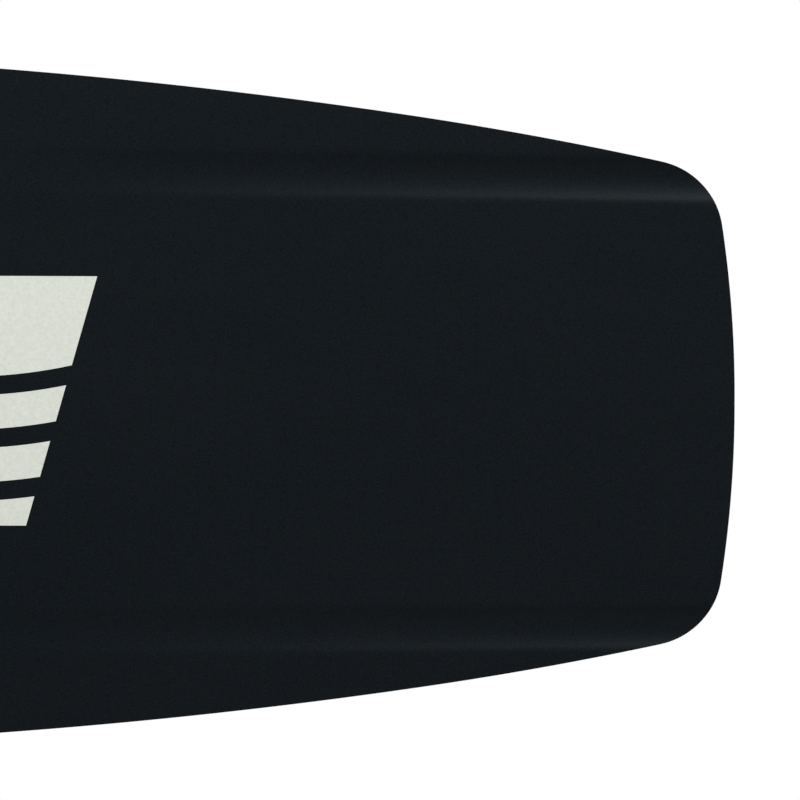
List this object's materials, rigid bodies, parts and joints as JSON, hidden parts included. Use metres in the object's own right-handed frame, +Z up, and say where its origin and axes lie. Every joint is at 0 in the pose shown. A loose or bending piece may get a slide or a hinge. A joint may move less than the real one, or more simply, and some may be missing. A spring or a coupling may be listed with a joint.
{
  "type": "kiteboard",
  "caption": "Twin-tip kiteboard: rockered layered board with channelled ends, grab handle, and foot pads with padded adjustable straps.",
  "frame": {"origin": "under the middle of the board, at the lowest point of its underside", "axes": "+X along the board, +Y towards the toes, +Z up from the deck"},
  "size_m": [1.38, 0.4084, 0.1199],
  "materials": {
    "wood": "matte",
    "laminate": "satin",
    "edge_plastic": "satin",
    "base_film": "satin",
    "deck_film": "satin",
    "cream_film": "satin",
    "insert_metal": "satin",
    "moulded_nylon": "matte",
    "grip_rubber": "matte",
    "stainless": "brushed",
    "eva_foam": "matte",
    "gel_cushion": "matte",
    "strap_padding": "knitted",
    "strap_cover": "grained",
    "webbing": "woven"
  },
  "bodies": {
    "board": {"wood_core": "wood", "bottom_laminate": "laminate", "top_laminate": "laminate", "edge_strip": "edge_plastic", "base_sheet": "base_film", "deck_sheet": "deck_film", "base_graphic_left": "cream_film", "base_graphic_right": "cream_film", "pad_inserts_left": "insert_metal", "pad_inserts_right": "insert_metal", "handle_inserts": "insert_metal", "grab_handle_frame": "moulded_nylon", "grab_handle_grip": "grip_rubber", "handle_screws": "stainless", "handle_washers": "stainless", "pad_screws_left": "stainless", "pad_washers_left": "moulded_nylon", "pad_screws_right": "stainless", "pad_washers_right": "moulded_nylon"},
    "left_pad": {"pad_baseplate_left": "moulded_nylon", "footbed_left": "eva_foam", "heel_cushion_left": "gel_cushion", "toe_bar_left": "eva_foam", "strap_pivot_screws_left": "stainless", "strap_pivot_washers_left": "stainless"},
    "left_strap": {"strap_padding_left": "strap_padding", "strap_cover_left": "strap_cover", "strap_end_fittings_left": "moulded_nylon"},
    "left_flap": {"strap_flap_left": "webbing", "flap_tab_left": "grip_rubber"},
    "right_pad": {"pad_baseplate_right": "moulded_nylon", "footbed_right": "eva_foam", "heel_cushion_right": "gel_cushion", "toe_bar_right": "eva_foam", "strap_pivot_screws_right": "stainless", "strap_pivot_washers_right": "stainless"},
    "right_strap": {"strap_padding_right": "strap_padding", "strap_cover_right": "strap_cover", "strap_end_fittings_right": "moulded_nylon"},
    "right_flap": {"strap_flap_right": "webbing", "flap_tab_right": "grip_rubber"}
  },
  "joints": [
    {"name": "left_stance_angle", "type": "hinge", "parent": "board", "child": "left_pad", "pos_m": [-0.32, 0, 0.0193], "axis": [0.0456, 0, 0.999], "range_deg": [-15, 3]},
    {"name": "left_strap_tilt", "type": "hinge", "parent": "left_pad", "child": "left_strap", "pos_m": [-0.3214, 0.01989, 0.03438], "axis": [0.9935, 0.1045, -0.0453], "range_deg": [-12, 12]},
    {"name": "left_flap_open", "type": "hinge", "parent": "left_strap", "child": "left_flap", "pos_m": [-0.25999, 0.02608, 0.08783], "axis": [-0.1044, 0.9945, 0.0048], "range_deg": [0, 70]},
    {"name": "right_stance_angle", "type": "hinge", "parent": "board", "child": "right_pad", "pos_m": [0.32, 0, 0.0193], "axis": [0.0456, 0, -0.999], "range_deg": [-15, 3]},
    {"name": "right_strap_tilt", "type": "hinge", "parent": "right_pad", "child": "right_strap", "pos_m": [0.3214, 0.01989, 0.03438], "axis": [0.9935, -0.1045, 0.0453], "range_deg": [-12, 12]},
    {"name": "right_flap_open", "type": "hinge", "parent": "right_strap", "child": "right_flap", "pos_m": [0.25999, 0.02608, 0.08783], "axis": [-0.1044, -0.9945, -0.0048], "range_deg": [0, 70]}
  ]
}
